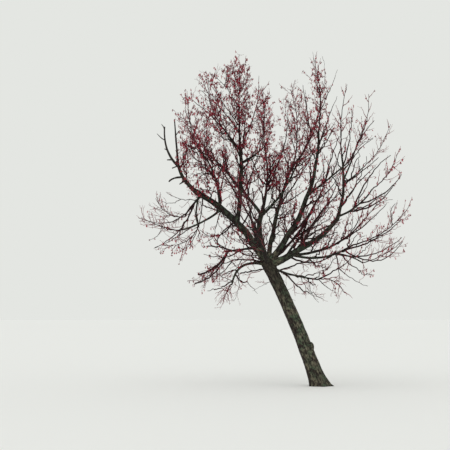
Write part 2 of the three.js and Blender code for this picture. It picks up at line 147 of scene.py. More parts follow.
# Finer branches within the crown, as for the boughs, but they bow only to the right and up. A name
# with _stem is the stem of that mass. The twigs' random numbers follow the order of the rows.
BRANCHES = {
    "leader_a": ("leader_stem", 0.46, (-2.64, -1.3, 7.38), (60, 60), (26, 6)),
    "leader_b": ("leader_stem", 0.16, (-2.89, -0.5, 7.16), (40, 70), (29, 9)),
    "leader_c": ("leader", 0.96, (-3.2, -1.6, 6.78), (10, 110), (38, 9)),
    "leader_d": ("leader", 1, (-1.42, 0.1, 7.67), (120, -10), (38, 9)),
    "leader_e": ("leader_d", 0.36, (-1.15, 0.3, 6.86), (60, -40), (20, 6)),
    "back_left_a": ("back_left", 0.68, (-2.33, 0.9, 6.48), (0, 0), (32, 9)),
    "back_left_b": ("back_left", 0.98, (-3.5, 1.7, 6.59), (30, 40), (29, 9)),
    "back_left_c": ("back_left", 0.36, (-1.28, 0.7, 6.67), (110, 50), (38, 9)),
    "middle_a": ("middle", 0.56, (-0.7, 0.3, 7.09), (190, -40), (41, 9)),
    "inner_left_a": ("inner_left", 0.76, (-3.28, -1.3, 5.7), (70, 70), (26, 6)),
    "inner_left_b": ("inner_left", 0.4, (-3.14, -0.7, 5.31), (100, 110), (26, 6)),
    "third_a": ("third_upright", 0.92, (0.26, 1.3, 7.5), (170, -70), (64, 9)),
    "third_b": ("third_a", 0.34, (-0.14, 1.6, 7.68), (40, 0), (29, 9)),
    "third_c": ("third_upright_stem", 0.12, (-0.68, 2.2, 7.6), (-30, -30), (26, 6)),
    "tall_a": ("tall_right", 0.88, (0.41, -0.9, 6.91), (-10, 20), (38, 9)),
    "tall_b": ("tall_right_stem", 0.28, (0.43, -0.9, 7.56), (10, -10), (26, 6)),
    "tall_c": ("tall_right_stem", 0.5, (0.13, -0.3, 8.06), (90, -10), (14, 6)),
    "tall_d": ("tall_right_stem", 0.44, (-0.07, 0.1, 8.28), (-20, -10), (14, 6)),
    "tall_e": ("tall_right", 0.44, (0.46, -1, 5.11), (120, -90), (38, 9)),
    "tall_f": ("tall_side", 0.56, (0.39, -1.3, 6.48), (140, -30), (29, 9)),
    "right_a": ("right_upper", 0.82, (0.74, -1, 6.54), (60, 0), (38, 14)),
    "right_b": ("right_high", 0.48, (1.53, 0.6, 6.64), (-70, 30), (35, 14)),
    "right_c": ("right_b", 0.38, (1.53, 0.8, 6.23), (10, -10), (17, 10)),
    "right_d": ("right_shoot", 0.26, (1.54, 0.1, 5.6), (10, -20), (35, 14)),
    "right_e": ("right_outer", 0.4, (1.74, -0.5, 5.55), (-70, 120), (42, 14)),
    "right_f": ("right_outer", 0.6, (1.8, -1.5, 4.93), (80, -100), (42, 14)),
    "right_g": ("right", 0.42, (0.23, 0.3, 4.8), (-80, 140), (59, 14)),
    "right_h": ("right", 0.26, (0.48, 0.4, 3.28), (50, -220), (52, 20)),
    "right_i": ("low_right_stem", 0.78, (2.13, 1.5, 4.72), (-40, 60), (24, 10)),
    "right_j": ("low_right", 0.7, (1.74, 0.2, 4.46), (50, -70), (42, 14)),
    "front_b": ("low_front", 0.86, (1.77, -1.5, 3.87), (60, -90), (46, 14)),
    "front_c": ("low_front", 0.72, (1.95, -0.6, 3.55), (30, -220), (42, 14)),
    "front_d": ("low_front", 0.72, (0.39, -1, 2.49), (20, -20), (31, 10)),
    "front_e": ("front_d", 0.5, (1.02, -1.3, 2.36), (-20, -40), (20, 10)),
    "side_a": ("trunk_side", 1, (0.8, -1.3, 3.16), (40, -50), (38, 9)),
    "side_b": ("trunk_side", 0.64, (-0.08, -1, 1.99), (-10, -40), (17, 6)),
    "hook_a": ("broken", 0.8, (-1.74, -0.65, 2.5), (-10, -90), (40, 26)),
    "hook_b": ("hook_a", 0.94, (-1.51, -0.9, 2.2), (0, 10), (17, 6)),
    "low_a": ("left", 0, (-2.49, -0.5, 2.77), (-140, 170), (52, 9)),
    "low_b": ("low_back", 1, (-2.96, 0.9, 2.73), (40, -120), (56, 42)),
    "low_c": ("left", 0.52, (-2.39, -0.6, 3.23), (-220, -30), (38, 9)),
    "left_h": ("outer_left", 0.28, (-4.41, 0.1, 4.09), (100, -290), (38, 9)),
    "left_i": ("outer_left", 0.18, (-3.7, -0.4, 4.67), (-20, -70), (23, 6)),
    "left_j": ("left", 0.96, (-3.34, -1.1, 3.19), (120, -270), (29, 9)),
    "front_f": ("low_front", 0.86, (1.88, -1.1, 3.41), (80, -350), (42, 14)),
    "right_k": ("right", 0.34, (0.42, 0.5, 3.94), (-70, 110), (70, 14)),
    "right_l": ("right", 0.42, (0.52, -0.7, 4.62), (-60, 130), (80, 14)),
    "right_m": ("right_l", 0.64, (0.45, -0.9, 4.98), (20, -20), (35, 14)),
    "right_n": ("right_outer", 0.28, (1.81, -0.7, 4.86), (80, -160), (46, 14)),
    "side_c": ("trunk_side", 0.82, (-0.1, -1, 2.06), (-50, -80), (17, 6)),
    "side_d": ("side_a", 0.02, (0.33, -1.2, 2.2), (-10, -30), (23, 6)),
    "low_d": ("low_back", 1, (-3.04, 0.7, 2.48), (90, -130), (44, 30)),
    "low_e": ("low_back", 0.84, (-2.73, 0.4, 3.41), (0, 40), (42, 32)),
    "low_f": ("low_a", 0.58, (-2.61, -0.7, 2.59), (30, -70), (29, 9)),
    "low_g": ("low_a", 0.4, (-2.47, -0.4, 2.78), (30, -190), (20, 6)),
    "hook_c": ("broken", 0.7, (-2.07, -0.7, 2.03), (70, -40), (20, 6)),
    "left_k": ("left", 0.72, (-2.54, -0.3, 3.62), (-20, -50), (29, 9)),
    "left_l": ("outer_left", 0.28, (-3.98, -0.2, 3.33), (120, -120), (40, 16)),
    "left_m": ("low_left", 0.72, (-3.94, -1, 3.25), (10, -40), (26, 6)),
    "second_a": ("second_upright", 0.72, (-1.88, -0.4, 5.05), (-80, -40), (49, 9)),
    "leader_f": ("leader", 0.8, (-1.24, -1.2, 5.74), (0, -50), (35, 9)),
    "leader_g": ("left", 0.72, (-2.59, -0.9, 5.13), (70, 50), (43, 9)),
    "trunk_a": ("trunk", 0.76, (-0.49, -0.15, 2.48), (10, -20), (12, 5)),
    "trunk_b": ("trunk", 0.73, (-0.57, -0.2, 2.04), (0, 20), (10, 5)),
    "trunk_c": ("trunk", 0.87, (-1.61, -0.3, 2.28), (0, 10), (14, 5)),
    "right_o": ("right_upper", 0.16, (1.4, -0.3, 5.32), (-50, 40), (40, 12)),
    "right_p": ("right_upper", 0.76, (1.26, 0.1, 6.48), (40, -10), (34, 12)),
    "right_q": ("right_high", 0.44, (1.48, 0.5, 6.15), (-50, 60), (28, 10)),
    "right_r": ("low_right", 1, (1.15, 0.3, 4.3), (100, 120), (30, 12)),
    "front_g": ("low_front_stem", 0.64, (1.81, -0.9, 4.34), (-90, 90), (26, 9)),
    "front_h": ("front_b", 0.4, (1.45, -1.3, 3.58), (10, -20), (26, 10)),
    "third_d": ("third_a", 0.12, (0.06, 1.2, 6.04), (40, -40), (36, 22)),
    "tall_g": ("tall_right", 0.82, (0.35, -0.7, 6.19), (20, -10), (36, 14)),
    "tall_h": ("tall_right", 0.92, (0.4, -0.3, 6.36), (20, 10), (30, 12)),
    "tall_i": ("tall_side", 0.4, (0.43, -1.1, 5.9), (-10, 40), (38, 14)),
    "trunk_d": ("trunk", 0.92, (-0.16, 0.1, 3.04), (130, 60), (42, 26)),
    "left_n": ("left_h", 0.64, (-4.12, 0, 3.55), (60, -90), (22, 7)),
    "left_o": ("left_i", 0.48, (-3.82, -0.4, 4.45), (-10, -80), (20, 7)),
    "low_h": ("low_e", 0.48, (-2.77, 0.3, 3.76), (40, 50), (26, 10)),
    "low_i": ("left", 0.1, (-1.9, 0.3, 3.27), (-80, -50), (34, 26)),
    "hook_d": ("trunk", 0.97, (-1.89, -0.35, 2.71), (-100, -30), (36, 32)),
    "hook_e": ("broken", 0.7, (-2.37, -0.55, 2.6), (10, 60), (34, 12)),
    "hook_f": ("broken", 0.66, (-2.22, -0.5, 3.09), (-20, 10), (18, 10)),
    "hook_g": ("broken", 0.96, (-2.39, -0.65, 2.63), (30, -10), (20, 8)),
    "second_b": ("back_left", 0.28, (-1.79, 0.7, 5.5), (30, 20), (46, 22)),
    "second_c": ("second_b", 0.4, (-1.38, 0.5, 5.19), (30, -20), (30, 14)),
    "second_e": ("second_b", 0.36, (-2.05, 0.3, 5.14), (-20, 0), (34, 20)),
    "leader_h": ("leader", 0.42, (-2.48, -0.9, 5.37), (10, 10), (58, 24)),
    "leader_i": ("leader", 0.26, (-2.49, -0.5, 5.35), (40, 30), (44, 20)),
    "leader_j": ("leader_h", 0.66, (-2.35, -1.1, 5.57), (10, 30), (38, 16)),
    "leader_k": ("leader_h", 0.6, (-2.25, -0.7, 5.71), (30, 20), (34, 14)),
    "middle_b": ("middle", 0.52, (-1.38, 0.3, 5.1), (20, 0), (32, 14)),
    "middle_c": ("middle", 0.6, (-1.3, 0.8, 5.34), (-10, 10), (36, 14)),
    "arm_a": ("right_arm", 0.36, (-0.93, 0.4, 5.27), (40, -10), (40, 18)),
    "arm_b": ("second_upright", 1, (-1.13, 0.7, 4.98), (140, -10), (28, 12)),
    "middle_d": ("middle", 0.44, (-0.9, 0.9, 5.09), (30, 10), (34, 14)),
    "left_p": ("left", 0.54, (-2.88, -0.3, 3.76), (10, -270), (36, 12)),
    "left_q": ("left_p", 0.48, (-2.37, -0.3, 3.34), (-40, -20), (22, 12)),
    "left_r": ("left", 0.54, (-2.08, -0.5, 3.63), (-30, -40), (24, 12)),
    "left_s": ("leader_left_stem", 0.16, (-2.82, -1.1, 6.99), (150, 140), (26, 9)),
    "leader_l": ("leader_a", 0.5, (-2.15, -1.2, 7.6), (20, 20), (22, 9)),
    "leader_m": ("leader_a", 0.58, (-2.28, -1.3, 7.49), (40, -10), (20, 9)),
    "leader_n": ("leader_stem", 0.68, (-2.1, -1.1, 7.28), (-10, -20), (20, 8)),
    "leader_o": ("leader_stem", 0.68, (-1.62, -0.7, 7.4), (-10, 20), (22, 9)),
    "leader_r": ("left", 0.44, (-1.6, -0.4, 4.76), (120, 50), (46, 26)),
    "leader_s": ("leader_d", 0.48, (-1.11, 0.1, 7.18), (-10, 20), (24, 9)),
    "third_e": ("third_a", 0.46, (-0.21, 1.4, 7.76), (-10, 10), (36, 12)),
    "third_f": ("third_e", 0.2, (-0.34, 1.3, 7.01), (-40, 0), (24, 10)),
    "second_f": ("second_upright", 0.56, (-1.67, -0.1, 4.02), (-110, -30), (30, 22)),
    "left_t": ("left_p", 0.36, (-2.1, -0.4, 3.41), (-30, 20), (20, 9)),
    "left_u": ("left_p", 0.62, (-2.78, -0.2, 3.43), (0, -20), (20, 9)),
    "inner_left_c": ("inner_left_a", 0.6, (-3.32, -1, 5.2), (-50, 120), (24, 10)),
    "inner_left_d": ("inner_left_b", 0.3, (-2.98, -0.6, 4.75), (-80, 100), (26, 11)),
    "inner_left_e": ("inner_left_a", 0.35, (-3.1, -1.4, 5.95), (30, -50), (26, 10)),
    "inner_left_f": ("inner_left", 0.22, (-2.95, -0.7, 4.68), (0, 40), (28, 12)),
    "inner_left_g": ("inner_left", 0.5, (-3.02, -0.8, 5), (-20, 80), (28, 12)),
    "leader_t": ("leader", 0.9, (-1.75, -0.5, 6.95), (20, -50), (34, 12)),
    "leader_u": ("leader_stem", 0.25, (-2.6, -1.2, 7.1), (30, -40), (26, 10)),
    "right_u": ("trunk", 1, (0.09, -0.1, 4.74), (120, -100), (80, 30)),
    "right_v": ("right_u", 0.42, (0.27, -0.2, 4.3), (20, -50), (50, 20)),
    "right_w": ("right_u", 0.4, (0.49, 0, 3.73), (0, -70), (40, 18)),
    "tall_j": ("tall_right", 0.18, (0.22, -0.9, 5.22), (150, -80), (46, 20)),
    "right_t": ("right_l", 0.2, (0.49, -0.9, 3.96), (-20, -20), (28, 14)),
    "third_g": ("third_upright", 0.54, (0.04, 0.9, 5.93), (30, -20), (42, 20)),
    "tall_k": ("tall_right", 0.32, (-0.66, -0.5, 4.65), (-70, 10), (20, 12)),
    "third_h": ("third_upright", 0.44, (-0.48, 0.3, 4.27), (30, -10), (24, 14)),
}

# Side twigs and broken stubs of the dead wood at the upper left, as for the finer branches
DEAD_STUBS = {
    "fork": ("left_dead", 0.9, (-3.83, -0.2, 6.37), (20, 10), (30, 16)),
    "side_twig": ("left_dead", 0.71, (-3.93, -0.3, 6.12), (0, -20), (30, 14)),
    "right_twig": ("right_dead", 0.63, (-3.38, -0.45, 6.17), (5, 10), (26, 14)),
    "bent_stub": ("left_end", 0.67, (-3.63, -0.39, 4.92), (-40, 30), (52, 34)),
    "stub_1": ("left_dead", 0.47, (-3.75, -0.27, 5.75), (0, 0), (36, 22)),
    "stub_2": ("left_dead", 0.21, (-3.68, -0.36, 5.46), (0, 0), (38, 24)),
    "stub_3": ("left_dead", 0.02, (-3.56, -0.32, 5.26), (0, 0), (40, 26)),
    "stub_4": ("left_end", 0.56, (-3.38, -0.23, 4.88), (0, 0), (42, 28)),
    "stub_5": ("left_end", 0.98, (-3.26, -0.35, 5.37), (0, 0), (38, 24)),
}

# The rule that every mass branches by, as for the solids
STEM_THICKNESS_SHARE = 0.85
TWIGS_TRIED = 7
FIRST_TWIG = 0.1
GOLDEN_ANGLE = 2.39996
UPRIGHT_ENOUGH = 0.01
LEAVING_ANGLE = (0.55, 0.95)
TWIG_SHARE = (0.9, 1.5)
FINE_TWIG_SHARE = (0.5, 0.8)
SHORTER_TO_THE_TIP = 0.45
UPTURN = 0.3
SPACE_BETWEEN_MASSES = 0.12
CLEAR_OF_LIMBS = 0.03
PLACES_CHECKED = (0.35, 0.7, 1)
SAMPLES = 24

# What the finer branches and twigs add to the rule. Each kind: how many grow on a metre of what
# carries them, their length as a share of its reach, their joints, their greatest thickness at the
# root and at the tip, the angle at which they leave, and how much they keep of its lift.
SIDE_TWIG_JOINTS = 9
SIDE_TWIG_THICKNESS = (0.024, 0.007)
BRANCHES_ON_BOUGHS = (5, (0.8, 1.6), 15, (0.045, 0.011), (0.5, 0.8), 1.2)
SHOOTS_ON_BOUGHS = (4, (0.2, 0.7), 9, (0.02, 0.006), LEAVING_ANGLE, 1)
TWIGS_ON_STEMS = (10, TWIG_SHARE, SIDE_TWIG_JOINTS, SIDE_TWIG_THICKNESS, LEAVING_ANGLE, 1)
TWIGS_ON_BRANCHES = (7, (0.6, 1.5), 9, (0.022, 0.007), (0.55, 1.15), 0.8)
FINE_TWIGS = (8, (0.25, 0.65), 6, (0.013, 0.006), (0.6, 1.3), 0.6)
FINEST_TWIGS = (6, (0.3, 0.6), 4, (0.008, 0.0045), (0.6, 1.2), 0.6)
# How far up what carries them the twigs start, and the share of it that they are spread over
TWIGS_FROM = 0.16
TWIGS_OVER = 0.8
# The most that a twig's root and its tip measure beside what carries it there
SHARE_OF_CARRIER = (0.8, 0.6)
# Finer branches: how far their twigs reach, their joints and how crooked they are
BRANCH_REACH = 0.42
BRANCH_JOINTS = 15
BRANCH_CROOK = 0.007
# The joint whose nearest mass a branch is counted with, and the range of its first twig's turn
OWNING_JOINT = 9
FIRST_TURN = 6
BRANCH_SIDES = 6
TWIG_SIDES = 3
STEM_TIP_THICKNESS = 0.01
# How far twigs curl and how crooked they are, as shares of their length
TWIG_CURL = 0.07
TWIG_CROOK = 0.021
# How far the finest twigs may reach from a stem, beside its spread, and from a bough
ROOM_FOR_FINE_TWIGS = 1.08
ROOM_BY_BOUGHS = 0.6
FINE_TWIG_CLEAR = 0.008
CROWN_SEED = 77
# Gaps of sky that run through the crown: the least and the greatest X and Z of each
SKY_GAPS = [(-1.33, -0.85, 6.95, 9), (-5, -3.9, 4.75, 9), (-5, -3.5, 5, 6.9)]
# Places where the crown is thin, in the same way, and the share of its finer twigs that grow there
THIN_PLACES = [
    (-5, -2.9, 6.3, 9, 0.5), (-2.9, -2.5, 6.66, 7.05, 0.4), (-2.7, -2.45, 7.2, 9, 0.5),
    (-2.6, -1.75, 4.4, 5.7, 0.68), (-1.75, -1.3, 5.2, 6.3, 0.65), (-1.75, -1.1, 3.9, 5.2, 0.45),
    (0.1, 1, 4.5, 6.1, 0.5), (1, 3, 4.2, 7, 0.4), (0.5, 3, 2.9, 4.2, 0.75), (0.1, 1, 1.9, 2.75, 0.5),
    (-0.7, 0.1, 5.2, 7.4, 0.88), (-0.5, 0.3, 7.7, 9, 0.45), (-0.75, -0.33, 4.8, 5.25, 0.55),
    (-0.75, 0.05, 3.6, 4, 0.8), (-0.35, 0.05, 4, 4.4, 0.7), (0.3, 1.5, 6.55, 8, 0.3),
    (1.5, 2.2, 5.9, 8, 0.3),
]
# Where few bunches of fruit hang, in the same way, and the share of them that hangs there
SELDOM_FRUIT = [
    (-3.1, -2.2, 5, 5.7, 0.4), (-3.45, -3.05, 5.9, 6.35, 0.6), (-2.3, -1.85, 4.75, 6.7, 0.55),
    (-2.2, -0.7, 3.8, 4.9, 0.15), (-1.6, 0.1, 2.9, 3.9, 0.2), (-1.8, -0.8, 2.7, 3.4, 0),
    (-1.6, -1.3, 5.9, 7, 0.6), (0, 1, 3.5, 4.4, 0.5), (-1.7, -0.3, 0, 2.9, 0),
    (-0.5, 0.3, 7.8, 9, 0.3), (0.35, 3, 5.3, 9, 0.45),
]

# Bunches of fruit: where along the branches, side twigs, fine and finest twigs they may hang, and
# the chance of one there beside what the mass bears
FRUIT_ALONG = [
    ((0.6, 0.75, 0.9, 1), 0.5), ((0.35, 0.5, 0.65, 0.8, 1), 0.85), ((0.5, 0.75, 1), 0.52), ((1,), 0.35),
]
FRUIT_OFF_PLACE = 0.08
BERRIES = 5
BERRY_RADIUS = (0.009, 0.011)
BERRIES_BELOW_TWIG = 0.034
BUNCH_SPREAD = (0.008, 0.008, 0.013)
STALK_RADIUS = 0.0015
STALK_JOINTS_BELOW_TWIG = (0.02, 0.045)
PIECES_OF_A_COLOUR = 2

# Making of the limbs
TRUNK_STATIONS_APART = 0.03
BOUGH_STATIONS_APART = 0.035
BOUGH_WANDER = 0.7
WANDERS_TO_A_METRE = 2.2
WANDERS_APART = 7.7
MAIN_BOUGH_THICKNESS = 0.1
FEWEST_STATIONS = 8
TRUNK_SIDES = 40
MAIN_BOUGH_SIDES = 20
THIN_BOUGH_SIDES = 10
STUB_SIDES = 8
# A collar ends a little thinner than its limb, under the limb's own bark.
COLLAR_END = 0.86
# A thin bough is thicker where it leaves, and dead wood a little thicker all along.
THIN_BOUGH_SWELLING = 0.3
THIN_BOUGH_SWELLING_LENGTH = 0.07
DEAD_WOOD_SWOLLEN = 1.12
# Bark: how large its furrows and its broader lumps are across the limb, both ways, and up it, how
# high its ridges stand beside the furrows' depth, and the deepest furrow beside the limb's radius
FURROW_SIZE = (0.035, 0.035, 0.16)
LUMP_SIZE = (0.13, 0.13, 0.22)
RIDGE_HEIGHT = 0.4
DEEPEST_FURROW = 0.09
PATTERNS_APART = 3.7
# The side where rain runs down and algae grow. It faces the viewer and a little up, so the pale film there is
# also painted light on the limbs' fronts, and their edges stay dark as painted shade.
DAMP_AND_LIT_SIDE = (0.15, -0.95, 0.25)


def unit(arrows):
    """The arrows with a length of 1, and what has no length left as it is."""
    return arrows / np.maximum(np.linalg.norm(arrows, axis=-1, keepdims=True), 1e-9)


def seeded_random(seed):
    """The solids' own random numbers: the same seed always gives the same run between 0 and 1."""
    state = seed

    def draw():
        nonlocal state
        whole = 0xFFFFFFFF
        state = (state + 0x6D2B79F5) & whole
        mixed = ((state ^ (state >> 15)) * (1 | state)) & whole
        mixed = ((mixed + (mixed ^ (mixed >> 7)) * (61 | mixed)) ^ mixed) & whole
        return (mixed ^ (mixed >> 14)) / (whole + 1)

    return draw


def bowed_line(start, tip, bow):
    """Start, control point and tip of a line whose middle is pushed aside by the bow, in millimetres."""
    start, tip = np.array(start, float), np.array(tip, float)
    return np.array([start, (start + tip) / 2 + 2 * np.array(bow) / 1000, tip])


def on_line(line, share):
    share = np.asarray(share, float)[..., None]
    return (1 - share) ** 2 * line[0] + 2 * share * (1 - share) * line[1] + share**2 * line[2]


def line_heading(line, share):
    return unit((1 - share) * (line[1] - line[0]) + share * (line[2] - line[1]))


def sampled(lines):
    return np.array([on_line(line, np.linspace(0, 1, SAMPLES + 1)) for line in lines])


def in_parts(work, points, at_once):
    """Works through many points a part at a time, to spare the memory."""
    return np.concatenate([work(some) for some in np.array_split(points, len(points) // at_once + 1)])


# Limbs

def trunk_radius(height, around=0.0):
    """The trunk swells into the roots below and into the fork above."""
    flare = np.exp(-height / ROOT_FLARE_HEIGHT)
    fork = np.exp((height - TRUNK_FORK[2]) / FORK_SWELLING_HEIGHT)
    rise = height / TRUNK_FORK[2]
    plain = TRUNK_THICKNESS_LOW * (1 - rise) + TRUNK_THICKNESS_HIGH * rise
    lobes = 1 + ROOT_LOBE_DEPTH * flare * np.cos(ROOT_LOBES * around)
    return (plain + ROOT_FLARE * flare + FORK_SWELLING * fork) * lobes / 2


def untwisted_sides(onward):
    """A sideways direction at every station that doesn't turn about the limb."""
    side = unit(np.cross(onward[0], np.eye(3)[np.argmin(np.abs(onward[0]))]))
    sides = []
    for heading in onward:
        side = unit(side - heading * side.dot(heading))
        sides.append(side)
    return np.array(sides)


def make_limb(name, line, thick, stations_apart=TRUNK_STATIONS_APART, wander=0, seed=0):
    """The stations along a limb: centre, heading, sideways direction, radius and distance up it."""
    thick = np.array(thick) / 1000
    length = np.linalg.norm(np.diff(on_line(line, np.linspace(0, 1, 50)), axis=0), axis=1).sum()
    first = -BURIED_SHARE if name == "trunk" else 0.0
    share = np.linspace(first, 1, max(FEWEST_STATIONS, round(length / stations_apart)))
    centre = on_line(line, share)
    radius = (thick[0] * (1 - share) + thick[1] * share) / 2
    if name == "trunk":
        radius = trunk_radius(centre[:, 2])
    for place, at in enumerate(share):
        drift = noise.noise_vector((seed * WANDERS_APART, at * length * WANDERS_TO_A_METRE, 0.5))
        centre[place] += np.array(drift) * wander * radius[place] * 4 * max(at, 0) * (1 - at)
    onward = unit(np.gradient(centre, axis=0))
    return {
        "line": line, "thick": thick, "centre": centre, "radius": radius, "onward": onward,
        "side": untwisted_sides(onward), "up_limb": share * length,
    }


def all_limbs():
    limbs = {"trunk": make_limb("trunk", bowed_line((0, 0, 0), TRUNK_FORK, TRUNK_BOW), (0, 0))}
    for seed, (name, (on, at, tip, bow, thick)) in enumerate(BOUGHS.items(), 1):
        line = bowed_line(on_line(limbs[on]["line"], at), tip, bow)
        limbs[name] = make_limb(name, line, thick, BOUGH_STATIONS_APART, BOUGH_WANDER, seed)
    return limbs


limbs = all_limbs()
limb_samples = sampled(limb["line"] for limb in limbs.values())
limb_radii = np.array([np.linspace(*limb["thick"], SAMPLES + 1) / 2 for limb in limbs.values()])
limb_radii[0] = trunk_radius(np.linspace(0, 1, SAMPLES + 1) * TRUNK_FORK[2])
dead_boughs = [name for name in BOUGHS if "dead" in name]
live_boughs = [name for name in BOUGHS if name not in dead_boughs]
main_boughs = [name for name in BOUGHS if limbs[name]["thick"][0] >= MAIN_BOUGH_THICKNESS]
thin_boughs = [name for name in live_boughs if name not in main_boughs]


def finished_piece(name, mesh, slot, material, *nodes):
    """Links a finished mesh into the scene, riding on the tree's one body."""
    piece = bpy.data.objects.new(name, mesh)
    bpy.context.scene.collection.objects.link(piece)
    mesh.materials.clear()
    mesh.materials.append(material)
    mesh.polygons.foreach_set("use_smooth", np.ones(len(mesh.polygons), bool))
    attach(piece, "root")
    if nodes:
        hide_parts(*nodes)


def limb_tube(limb, sides, radii):
    """A ring drawn out along the limb, one station for each radius, and closed at both ends."""
    shape = bmesh.new()
    across = np.cross(limb["onward"], limb["side"])
    ring = bmesh.ops.create_circle(shape, segments=sides, radius=1)["verts"]
    edges = list(shape.edges)
    before = Matrix.Identity(4)
    for i, radius in enumerate(radii):
        if i:
            grown = bmesh.ops.extrude_edge_only(shape, edges=edges)["geom"]
            ring = [part for part in grown if isinstance(part, bmesh.types.BMVert)]
            edges = [part for part in grown if isinstance(part, bmesh.types.BMEdge) and part.is_boundary]
        turned = [limb["side"][i] * radius, across[i] * radius, limb["onward"][i] * radius]
        columns = np.array([*turned, limb["centre"][i]])
        now = Matrix([[*row] for row in columns.T] + [[0, 0, 0, 1]])
        bmesh.ops.transform(shape, matrix=now @ before.inverted(), verts=ring)
        before = now
    bmesh.ops.holes_fill(shape, edges=[edge for edge in shape.edges if edge.is_boundary], sides=0)
    bmesh.ops.recalc_face_normals(shape, faces=shape.faces)
    return shape


def collar(limb, reach, wide):
    """The thickened start of a limb, which sinks under the limb's own bark as it goes out."""
    near = limb["up_limb"] <= reach
    fade = limb["up_limb"][near] / reach
    return limb_tube(limb, MAIN_BOUGH_SIDES, limb["radius"][near] * (wide * (1 - fade) + COLLAR_END * fade))


def lump(radius, stretch, place):
    """A ball that is stretched and put in its place."""
    shape = bmesh.new()
    bmesh.ops.create_icosphere(shape, subdivisions=4, radius=radius)
    bmesh.ops.scale(shape, vec=stretch, verts=shape.verts)
    bmesh.ops.translate(shape, vec=place, verts=shape.verts)
    return shape


def joined(name, shapes):
    """Several shapes in one mesh."""
    whole = bmesh.new()
    for shape in shapes:
        part = bpy.data.meshes.new("part")
        shape.to_mesh(part)
        shape.free()
        whole.from_mesh(part)
        bpy.data.meshes.remove(part)
    mesh = bpy.data.meshes.new(name)
    whole.to_mesh(mesh)
    whole.free()
    return mesh


def one_skin(mesh, voxel, rounds):
    """Joins overlapping limbs in one skin, whose crotches are then rounded."""
    stock = bpy.data.objects.new("stock", mesh)
    bpy.context.scene.collection.objects.link(stock)
    skin = stock.modifiers.new("skin", "REMESH")
    skin.mode = "VOXEL"
    skin.voxel_size = voxel
    rounded = stock.modifiers.new("rounded", "SMOOTH")
    rounded.factor = 0.5
    rounded.iterations = rounds
    evaluated = stock.evaluated_get(bpy.context.evaluated_depsgraph_get())
    made = bpy.data.meshes.new_from_object(evaluated)
    bpy.data.objects.remove(stock)
    return made


def every_station(key):
    return np.concatenate([limb[key] for limb in limbs.values()])


station_centre, station_radius = every_station("centre"), every_station("radius")
station_onward, station_side = every_station("onward"), every_station("side")
station_across = np.cross(station_onward, station_side)
station_up = every_station("up_limb")
station_limb = np.repeat(np.arange(len(limbs)), [len(limb["radius"]) for limb in limbs.values()])


def bark_grain(points):
    """Where points lie on their own limb, two ways across it and up it, and the limb's radius there."""
    def nearest_station(some):
        of_both = (some**2).sum(axis=1)[:, None] + (station_centre**2).sum(axis=1)
        squares = of_both - 2 * some @ station_centre.T
        return np.argmin(np.sqrt(np.maximum(squares, 0)) - station_radius, axis=1)

    nearest = in_parts(nearest_station, points, at_once=4000)
    offset = points - station_centre[nearest]
    # Each limb takes its pattern from another place.
    grain = np.stack([
        (offset * station_side[nearest]).sum(axis=1) + station_limb[nearest] * PATTERNS_APART,
        (offset * station_across[nearest]).sum(axis=1),
        (offset * station_onward[nearest]).sum(axis=1) + station_up[nearest],
    ], axis=1)
    return grain, station_radius[nearest]


def raise_bark(mesh, furrow_depth, lump_share):
    """Raises the bark's ridges round its furrows, and its broader lumps, and keeps its grain."""
    places = np.zeros((len(mesh.vertices), 3))
    mesh.vertices.foreach_get("co", places.ravel())
    outward = np.zeros((len(mesh.vertices), 3))
    mesh.vertices.foreach_get("normal", outward.ravel())
    grains, radii = bark_grain(places)
    furrows = np.array([noise.noise(place) for place in (grains / FURROW_SIZE).tolist()])
    lumps = np.array([noise.noise(place) for place in (grains / LUMP_SIZE).tolist()])
    depth = np.minimum(furrow_depth, DEEPEST_FURROW * radii)
    raised = depth * (RIDGE_HEIGHT - 2 * np.abs(furrows)) + lump_share * radii * lumps
    mesh.vertices.foreach_set("co", (places + outward * raised[:, None]).ravel())
    mesh.update()
    attribute = mesh.attributes.new("grain", "FLOAT_VECTOR", "POINT")
    attribute.data.foreach_set("vector", grains.ravel())
    # The damp side faces the viewer and a little up, so the film that it carries is also painted light.
    damp_and_lit = mesh.attributes.new("damp_and_lit", "FLOAT", "POINT")
    damp_and_lit.data.foreach_set("value", outward @ unit(np.array(DAMP_AND_LIT_SIDE)))


# Finishes

# A colour mix's inputs for the share and the two colours, and its output. They go by number,
# because its inputs for plain numbers have the same names.
SHARE, FIRST, SECOND, MIXED = 0, 6, 7, 2


def paint(hex_colour):
    """An sRGB hex colour as the linear colour that a shader takes."""
    parts = [int(hex_colour[i:i + 2], 16) / 255 for i in (0, 2, 4)]
    linear = [part / 12.92 if part <= 0.04045 else ((part + 0.055) / 1.055) ** 2.4 for part in parts]
    return (*linear, 1)


def new_finish(name, roughness, gloss=0.5):
    """A material with its shader, whose specular level is the gloss."""
    finish = bpy.data.materials.new(name)
    finish.use_nodes = True
    shader = finish.node_tree.nodes["Principled BSDF"]
    shader.inputs["Roughness"].default_value = roughness
    shader.inputs["Specular IOR Level"].default_value = gloss
    return finish, finish.node_tree, shader


def add_node(tree, kind, inputs, **settings):
    """Adds a node with its settings, and gives each input its value or the socket that feeds it."""
    node = tree.nodes.new("ShaderNode" + kind)
    for name, value in settings.items():
        setattr(node, name, value)
    for name, value in inputs.items():
        if isinstance(value, bpy.types.NodeSocket):
            tree.links.new(value, node.inputs[name])
        else:
            node.inputs[name].default_value = value
    return node


